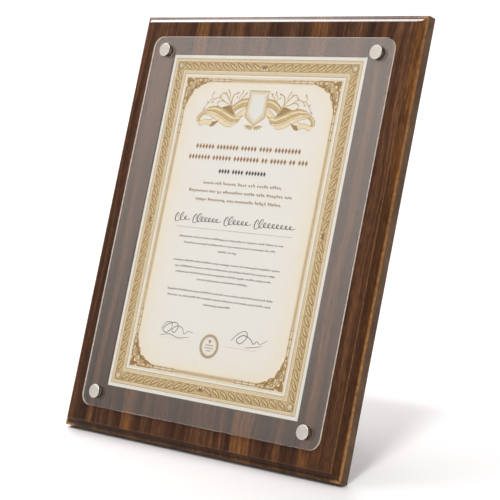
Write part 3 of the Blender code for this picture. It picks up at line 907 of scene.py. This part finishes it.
def shieldOutline(grow):
    half = emblem["shieldWidth"] / 2 + grow
    top, point = emblem["shieldTop"] + grow, emblem["shieldPoint"] - grow * 1.2
    shoulder = point + 7.6
    return [(-half, top), (-half + 0.9, top - 2.4), (-half + 0.5, top - 12), (-half + 0.2, shoulder),
            (-half * 0.55, shoulder - 3.6), (0, point), (half * 0.55, shoulder - 3.6),
            (half - 0.2, shoulder), (half - 0.5, top - 12), (half - 0.9, top - 2.4), (half, top)]


ribbonBands = [
    # ink, then the upper edge and the lower edge, on the right of the shield
    ("ribbonInk", [(10.4, 111.2), (16.5, 110.4), (22.5, 107.6), (27, 103.6)],
     [(10.4, 103.6), (15.5, 103.4), (20.5, 101.2), (24.2, 98.6)]),
    ("ribbonLightInk", [(10.4, 102.8), (14.5, 101.6), (18.6, 98.6), (22, 96.2)],
     [(10.4, 97.4), (14, 95.6), (17.6, 93.4), (20.2, 92.2)]),
    ("ribbonDarkInk", [(26.6, 103.4), (30.6, 104.4), (36, 103), (41, 101.4)],
     [(22.4, 96.4), (27, 97.2), (33, 98.6), (39, 99.2)]),
    ("ribbonInk", [(13.2, 95.8), (20, 95.4), (28, 97.8), (37, 101.6), (46, 103.4), (54, 102)],
     [(17.6, 90), (24, 88.2), (31, 90.2), (39, 93.8), (47, 96.2), (56, 97.6)]),
    ("ribbonLightInk", [(18.6, 91.2), (24.6, 90), (31.6, 92), (39.6, 95.8), (48, 98.6), (56, 98.6)],
     [(23.4, 86.2), (28.6, 85.6), (35, 87.6), (42, 91), (49, 94.4), (56.6, 95.8)]),
    ("ribbonInk", [(54.6, 101), (60, 97.8), (64.6, 93.4), (64.2, 89.2)],
     [(53.4, 97.2), (58, 95.2), (61, 92), (60.4, 89.8)]),
    ("ribbonLightInk", [(46, 92.8), (50, 91.2), (55, 91.4), (60, 89.6), (64.2, 89.4)],
     [(47.4, 87.2), (50.4, 86.6), (54.2, 87.6), (58.4, 85.8), (61.6, 86.2)]),
    ("ribbonDarkInk", [(38.4, 91.4), (42.4, 90), (46.6, 89.4)], [(43.6, 86.4), (46.2, 85.4), (48.8, 85.6)]),
]
branchPaths = [
    # sprays above the ribbon, on the right of the shield
    ([(24.5, 98.6), (27.5, 103.5), (29, 109), (27.6, 113.6), (24.6, 115.4)], 1.3),
    ([(27.8, 104), (31.5, 109), (35.5, 113.4), (39.6, 115.4), (42, 113.2)], 1.2),
    ([(29.4, 104.8), (34.5, 106.6), (40, 108.4), (44.2, 106.8), (44, 104)], 1.1),
    ([(36.4, 107.4), (41, 110.4), (46.6, 110.6), (50.2, 107.6)], 0.9),
    ([(46.8, 110), (51.4, 109.4), (55.4, 105.6), (58.4, 101.8)], 0.8),
    ([(26.8, 103), (22, 106.2), (18.4, 110.6), (15.2, 114.2)], 1),
    ([(20.2, 108.2), (21, 112), (18.6, 115.8)], 0.8),
    ([(32, 109.6), (31.6, 113.4), (33.6, 116.6)], 0.8),
    ([(50.6, 109.4), (52.4, 112.4), (51, 114.8)], 0.7),
]
branchLeaves = [
    ((15.4, 114), (12.8, 116.6), 1.2), ((18.6, 115.6), (18, 118.4), 1.1), ((24.8, 115.2), (22, 116.2), 1.3),
    ((33.4, 116.2), (34.8, 118.6), 1.1), ((42, 113.4), (43.6, 111.2), 1.2), ((44, 104.2), (42, 102.6), 1.2),
    ((51.2, 114.4), (50, 116.4), 1), ((58.2, 102), (60, 99.4), 1.1), ((50, 107.8), (51.6, 105.6), 1),
    ((22.6, 111), (24.2, 112.8), 1), ((37, 113.8), (36, 116), 1), ((55, 106), (57, 107.6), 1),
]


def drawEmblem():
    for side in (1, -1):
        def flip(points, side=side):
            return [(x * side, y) for x, y in points]
        for path, width in branchPaths:
            soft = smoothPath(path, 5)
            drawPen("ribbonInk", flip(soft), width, 0.35, 0.5)
            curlAt = soft[-1]
            curl = scrollPath((curlAt[0] - 0.6, curlAt[1] - 0.8), 1.0, 50, 1.1, -1, steps=9)
            drawStroke("ribbonInk", flip(curl), 0.35)
        for start, end, width in branchLeaves:
            drawShape("ribbonDarkInk", flip(leafOutline(start, end, width)))
        for ink, upper, lower in ribbonBands:
            top, bottom = smoothPath(upper), smoothPath(lower)
            ribbonStrip(ink, flip(top), flip(bottom))
            # a sheen along the band, and fine edges
            shares = {"ribbonInk": ("ribbonLightInk", 0.22, 0.42), "ribbonLightInk": ("ribbonInk", 0.66, 0.92)}
            if ink in shares:
                shade, start, end = shares[ink]
                ribbonStrip(shade, flip(between(top, bottom, start)), flip(between(top, bottom, end)))
            drawStroke("scrollInk", flip(top), 0.34)
            drawStroke("scrollInk", flip(bottom), 0.34)
    for ink, grow in (("shieldDarkInk", 0.6), ("shieldGoldInk", 0.2), ("shieldInk", -1.3),
                      ("shieldLightInk", -3.0)):
        drawShape(ink, shieldOutline(grow))
    # small leaves under the shield's point
    for side in (1, -1):
        for reach, drop in ((10.6, -1.2), (8.4, -3.4), (5.4, -4.6), (2.4, -4.8)):
            start = (side * reach * 0.35, emblem["shieldPoint"] - 0.4)
            end = (side * reach, emblem["shieldPoint"] + drop)
            drawShape("frameInk", leafOutline(start, end, 1.9))


def between(top, bottom, share):
    return [(ax + (bx - ax) * share, ay + (by - ay) * share) for (ax, ay), (bx, by) in zip(top, bottom)]


def ribbonStrip(ink, top, bottom):
    bm = inkMeshes[ink]
    upper = [inkPoint(bm, x, y) for x, y in top]
    lower = [inkPoint(bm, x, y) for x, y in bottom]
    for here in range(len(top) - 1):
        bm.faces.new((lower[here], lower[here + 1], upper[here + 1], upper[here]))


# Lines of made-up marks stand where a certificate has its wording.
wordingLines = [
    # ink, middle, height of the marks, half length, tall marks
    ("titleInk", 67.7, 5.3, 59, True),
    ("titleInk", 58.2, 5.3, 65, True),
    ("darkInk", 46.8, 4.8, 28, True),
    ("titleInk", 36.4, 3.3, 42.5, False),
    ("titleInk", 29.2, 3.3, 57, False),
    ("titleInk", 22, 3.3, 47.5, False),
    ("darkInk", -11.5, 2.05, 57.5, False), ("darkInk", -16.6, 2.05, 50.5, False),
    ("darkInk", -21.8, 2.05, 11, False),
    ("darkInk", -32.2, 2.05, 58.5, False), ("darkInk", -37.2, 2.05, 55.5, False),
    ("darkInk", -42.1, 2.05, 53.5, False), ("darkInk", -47.1, 2.05, 28, False),
    ("darkInk", -57.5, 2.05, 58.5, False), ("darkInk", -62.5, 2.05, 57.5, False),
    ("darkInk", -67.6, 2.05, 15.5, False),
]


def drawMark(ink, kind, x, y, width, height, weight):
    # one printer's ornament: a lozenge, a wave or a row of ticks
    centreX, middle = x + width / 2, y + height / 2
    if kind == "lozenge":
        drawShape(ink, [(x, middle), (centreX, y), (x + width, middle), (centreX, y + height)])
    elif kind == "wave":
        wave = [(x + width * step / 8, middle + height * 0.38 * math.sin(2 * math.pi * step / 8))
                for step in range(9)]
        drawStroke(ink, wave, weight)
    else:
        for share, reach in ((0.15, 0.5), (0.5, 1.0), (0.85, 0.5)):
            foot = x + width * share
            drawStroke(ink, [(foot, middle - height * reach / 2), (foot, middle + height * reach / 2)],
                       weight * 0.85)


def drawWording():
    marks = random.Random(41)
    for ink, middle, height, half, tall in wordingLines:
        fine = ink == "darkInk" and not tall
        advance = height * (0.74 if tall else 0.86 if fine else 0.78)
        weight = height * (0.19 if tall else 0.21)
        x = -half
        wordLeft = marks.randint(3, 9)
        while x < half - advance * 0.5:
            if wordLeft == 0:
                x += advance * 0.62
                wordLeft = marks.randint(2, 9)
                continue
            base = middle - height / 2
            if tall:
                width = advance * 0.78
                drawMark(ink, "lozenge", x, base, width, height, weight)
                x += width + advance * 0.12
            else:
                width = advance * marks.uniform(0.66, 0.84)
                rise = marks.random()
                size = height * (1.0 if rise < 0.22 else 0.70)
                if rise > 0.93:
                    base -= height * 0.25
                    size = height * 0.95
                kind = marks.choice(("wave", "ticks", "wave", "lozenge"))
                drawMark(ink, kind, x, base, width, size, weight)
                x += width + advance * 0.2
            wordLeft -= 1


flourishShape = {
    "runs": [(-66, -51), (-45, -16), (-10, 17), (23, 64)],
    "base": 3.6, "loopWidth": 4.4, "loopHeight": 2.3, "slant": 0.42,
    "ruleStart": -62.5, "ruleLength": 126.5, "ruleLevel": -3.6, "ruleDots": 84, "dotHalf": 0.38,
}


def drawFlourish():
    # runs of coiled pen loops in place of a handwritten name, over a dotted rule
    shape = flourishShape
    for start, end in shape["runs"]:
        turns = max(3, round((end - start) / shape["loopWidth"]))
        steps = turns * 14
        path, widths = [], []
        for step in range(steps + 1):
            share = step / steps
            angle = 2 * math.pi * turns * share
            # the coil swells at its start and dies away
            swell = 1.0 + 1.15 * math.exp(-((share * turns - 0.9) / 0.75) ** 2) - 0.45 * share
            up = shape["loopHeight"] * swell * math.sin(angle)
            across = 2.1 * math.cos(angle) * (0.8 + 0.2 * swell)
            path.append((start + (end - start) * share + across + up * shape["slant"],
                         shape["base"] + up + swell * 0.7))
            widths.append(0.45 + 0.62 * max(0.0, -math.cos(angle)))
        drawStroke("darkInk", path, widths)
    level, dotHalf = shape["ruleLevel"], shape["dotHalf"]
    for dot in range(shape["ruleDots"]):
        x = shape["ruleStart"] + shape["ruleLength"] * dot / (shape["ruleDots"] - 1)
        drawStroke("darkInk", [(x - dotHalf, level), (x + dotHalf, level)], 0.42)


signatures = [
    # invented pen strokes: a long wave under two ovals, and a row of peaks with a tail
    ([(-57, -93), (-52, -87), (-46, -86.4), (-45, -91), (-50, -95.6), (-54.6, -93.4),
      (-50, -88.4), (-42, -86), (-38, -89), (-41, -94.6), (-44.4, -92.6), (-39, -88.8),
      (-33, -90), (-30, -94.6), (-26, -92), (-20, -92.6)], 0.62),
    ([(-56, -98.4), (-46, -96.4), (-36, -98.6), (-24, -96.6)], 0.5),
    ([(22, -94), (29, -87), (36, -84.8), (38, -89.6), (32, -95.4), (27.6, -92.6), (34, -88.2),
      (42, -90.4), (46, -94), (49.6, -91.4), (53, -93.4), (60, -89.4)], 0.66),
    ([(38, -98), (45, -97), (56, -94.6)], 0.45),
]


sealShape = {"centre": (0.0, -101.5), "outer": 10.2, "band": 8.9, "inner": 7.4, "teeth": 36,
             "starUp": 4.2, "starReach": (2.1, 0.9), "bars": ((0.9, 4.6), (-1.5, 5.0), (-3.8, 2.8))}


def drawFoot():
    # signatures over their rules, and between them a seal with a star and three barred rows
    for path, width in signatures:
        drawPen("darkInk", smoothPath(path), width, 0.6, 0.4)
    drawStroke("frameInk", [(16.5, -99.6), (51.5, -99.6)], 0.22)
    drawStroke("frameInk", [(-58.0, -99.6), (-21.0, -99.6)], 0.14)
    shape = sealShape
    seal = shape["centre"]
    for ink, ring, width in (("frameInk", "outer", 0.5), ("titleInk", "band", 1.5),
                             ("frameInk", "inner", 0.35)):
        drawStroke(ink, arcPath(seal, shape[ring], 0, 353, 50), width, closed=True)
    for notch in disc(seal, shape["band"], shape["teeth"]):
        drawShape("shieldLightInk", disc(notch, 0.34, 5))
    star = []
    for tip in range(10):
        reach = shape["starReach"][tip % 2]
        angle = math.radians(90 + 36 * tip)
        star.append((seal[0] + reach * math.cos(angle), seal[1] + shape["starUp"] + reach * math.sin(angle)))
    drawShape("titleInk", star)
    for level, half in shape["bars"]:
        steps = int(half * 2.4)
        for step in range(steps):
            x = seal[0] - half + 2 * half * (step + 0.5) / steps
            drawStroke("titleInk", [(x, seal[1] + level - 0.6), (x, seal[1] + level + 0.6)], 0.42)


def placeInks():
    for ink, bm in inkMeshes.items():
        for face in bm.faces:
            face.normal_update()
            if face.normal.z < 0:
                face.normal_flip()
        for vert in bm.verts:
            vert.co.z = sheetHigh.z + inkLevels[ink] * mm
        printed = newObject("print_" + ink, bm)
        addModifier(printed, "SOLIDIFY", thickness=inkThickness * mm, offset=-1)
        bake(printed)
        finish = fieldTint if ink == "fieldTint" else inks[ink]
        settle(printed, [finish], "board")


print("certificate print")
drawFieldTint()
drawBorder()
drawInnerFrame()
mirrored(drawCorner)
drawEmblem()
drawWording()
drawFlourish()
drawFoot()
placeInks()


def turnedMesh(profile, segments):
    # spins (radius, height) points about Z
    bm = bmesh.new()
    rings = []
    for radius, height in profile:
        if radius < 1e-7:
            rings.append([bm.verts.new((0, 0, height))])
            continue
        turns = [2 * math.pi * step / segments for step in range(segments)]
        rings.append([bm.verts.new((radius * math.cos(turn), radius * math.sin(turn), height))
                      for turn in turns])
    for upper, lower in zip(rings, rings[1:]):
        for here in range(segments):
            there = (here + 1) % segments
            ring = []
            for vert in (upper[here % len(upper)], lower[here % len(lower)], lower[there % len(lower)],
                         upper[there % len(upper)]):
                if vert not in ring:
                    ring.append(vert)
            if len(ring) > 2:
                bm.faces.new(ring)
    bmesh.ops.recalc_face_normals(bm, faces=bm.faces)
    return bm


capShape = {"chamfer": 0.38 * mm, "ease": 0.10 * mm, "segments": 96, "socketRadius": 2.2 * mm,
            "socketDepth": 1.2 * mm, "backChamfer": 0.25 * mm}


def roundPiece(nodeName):
    # where a turned piece stands, its radius and its height
    low, high = boardBox(nodeName)
    centre = (low + high) / 2
    place = boardFrame @ Matrix.Translation((centre.x, centre.y, low.z))
    return place, (high.x - low.x) / 2, high.z - low.z


def makeCap(corner):
    place, radius, height = roundPiece("cap_" + corner)
    shape = capShape
    chamfer, ease, backChamfer = shape["chamfer"], shape["ease"], shape["backChamfer"]
    profile = [(0, height), (radius * 0.5, height), (radius - chamfer - ease - 0.15 * mm, height),
               (radius - chamfer - ease, height),
               (radius - chamfer, height - ease * 0.4), (radius - ease, height - chamfer + ease * 0.2),
               (radius, height - chamfer - ease), (radius, backChamfer), (radius - backChamfer, 0),
               (shape["socketRadius"], 0), (shape["socketRadius"], shape["socketDepth"]),
               (0, shape["socketDepth"])]
    turned = turnedMesh(profile, shape["segments"])
    turned.normal_update()
    for face in turned.faces:
        # the sides take the darkened nickel, painted shade
        face.material_index = 1 if abs(face.normal.z) < 0.6 else 0
    cap = newObject("nickelCap_" + corner, turned, place)
    smooth(cap, 28)
    settle(cap, [nickel, nickelShadedSide], "cap_" + corner, ["cap_" + corner])


threadShape = {"pitch": 0.7 * mm, "depth": 0.38 * mm, "segments": 28, "perTurn": 4}


def makeStud(corner):
    # stud with a real thread, from its tip up to the socket in the cap
    place, radius, length = roundPiece("cap_stud_" + corner)
    pitch, depth, segments = threadShape["pitch"], threadShape["depth"], threadShape["segments"]
    levels = int(length / pitch * threadShape["perTurn"])
    bm = bmesh.new()
    rings = []
    for level in range(levels + 1):
        height = length * level / levels
        ends = min(1.0, min(height, length - height) / (1.2 * pitch))
        ring = []
        for step in range(segments):
            share = step / segments
            phase = (height / pitch - share) % 1.0
            bite = depth * abs(2 * phase - 1)
            size = radius - depth * (1 - ends) - bite * ends
            ring.append(bm.verts.new((size * math.cos(2 * math.pi * share),
                                      size * math.sin(2 * math.pi * share), height)))
        rings.append(ring)
    for lower, upper in zip(rings, rings[1:]):
        for here in range(segments):
            there = (here + 1) % segments
            bm.faces.new((lower[here], lower[there], upper[there], upper[here]))
    bm.faces.new(list(reversed(rings[0])))
    bm.faces.new(rings[-1])
    stud = newObject("stud_" + corner, bm, place)
    smooth(stud, 50)
    settle(stud, [zinc], "cap_" + corner, ["cap_stud_" + corner])


print("caps")
for corner in corners:
    makeCap(corner)
    makeStud(corner)


keptPieces = {
    "cap_washer_": nylon, "brass_insert_": brass, "strut_bracket": blackSteel, "bracket_screw_": zinc,
    "strut_pin": zinc, "strut_spacer_": nylon, "strut_leg": legBoard, "strut_foot_pad": rubber,
}
for nodeName, node in frame["nodes"].items():
    for start, finish in keptPieces.items():
        if nodeName.startswith(start):
            paint(node, [finish])


studio = {
    "cameraAcross": 0.895, "cameraUp": -0.1527, "cameraOut": 1.0415,   # from the middle of the face
    "azimuth": 40.13, "elevation": 7.67, "lens": 118.92,
    "floorSize": 14.0, "floorColour": (0.925, 0.925, 0.935), "floorGap": 0.2 * mm,
}
# brightness of the room, its ceiling and the pale wall round the horizon,
# then soft lights: direction, where the glow starts and is full, power, colour
sky = {
    "room": 0.22, "ceiling": 0.30, "wall": 0.88,
    "lights": [((-0.55, -0.60, 0.58), 0.895, 1.0, 1.08, (1.0, 0.875, 0.80)),
               ((-0.62, -0.05, 0.78), 0.90, 0.94, 2.2, (1.0, 0.96, 0.95)),
               ((-0.64, 0.52, 0.57), 0.90, 0.94, 2.9, (1.0, 0.95, 0.96))],
}
keyLamp = {"towards": (0.247, -0.442, 1.0), "spread": 8.5, "power": 1.35, "colour": (1.0, 0.985, 0.965)}


def makeCamera():
    middle = Vector((0, (boardLow.y + boardHigh.y) / 2, foilHigh.z))
    data = bpy.data.cameras.new("camera")
    data.sensor_width = 36
    data.lens = studio["lens"]
    camera = addToScene("camera", data)
    camera.location = boardFrame @ (middle + Vector((studio["cameraAcross"], studio["cameraUp"],
                                                     studio["cameraOut"])))
    camera.rotation_euler = (math.radians(90 - studio["elevation"]), 0, math.radians(studio["azimuth"]))
    bpy.context.scene.camera = camera


def makeFloor():
    bm = bmesh.new()
    bmesh.ops.create_grid(bm, x_segments=4, y_segments=4, size=studio["floorSize"] / 2)
    floor = newObject("floor", bm, Matrix.Translation((0, 0, cadBox[0][2] - studio["floorGap"])))
    paint(floor, [Finish("floor", studio["floorColour"], 0.6)])


def addKeyLamp():
    # broad lamp far off at the front right, so its light is even over the whole floor
    look = keyLamp
    data = bpy.data.lights.new("keyLamp", "SUN")
    data.energy = look["power"]
    data.color = look["colour"]
    data.angle = math.radians(look["spread"])
    lamp = addToScene("keyLamp", data)
    lamp.location = look["towards"]
    lamp.rotation_euler = Vector(look["towards"]).to_track_quat("Z", "Y").to_euler()


def makeSky():
    # white room: pale horizon, brighter ceiling, and soft lights high on the left
    world = bpy.data.worlds.new("studio")
    world.use_nodes = True
    bpy.context.scene.world = world
    air = Wiring(world.node_tree)
    direction = air.add("ShaderNodeTexCoord").outputs["Generated"]
    height = air.split(direction)["Z"]
    background = world.node_tree.nodes["Background"]
    air.plug(background.inputs["Color"], (1, 1, 1))
    air.plug(background.inputs["Strength"],
             air.maths("ADD", air.span(height, 0.25, 0.95, sky["room"], sky["ceiling"]),
                       air.span(height, 0.20, 0.10, 0.0, sky["wall"])))
    surface = background.outputs[0]
    for spot, start, full, power, colour in sky["lights"]:
        dot = air.add("ShaderNodeVectorMath", {0: direction, 1: Vector(spot).normalized()},
                      operation="DOT_PRODUCT").outputs["Value"]
        lamp = air.add("ShaderNodeBackground", {"Color": colour,
                                                "Strength": air.span(dot, start, full, 0.0, power)})
        surface = air.add("ShaderNodeAddShader", {0: surface, 1: lamp.outputs[0]}).outputs[0]
    air.plug(world.node_tree.nodes["World Output"].inputs["Surface"], surface)


print("studio")
makeCamera()
makeFloor()
makeSky()
addKeyLamp()
bpy.context.scene.view_settings.view_transform = "Standard"
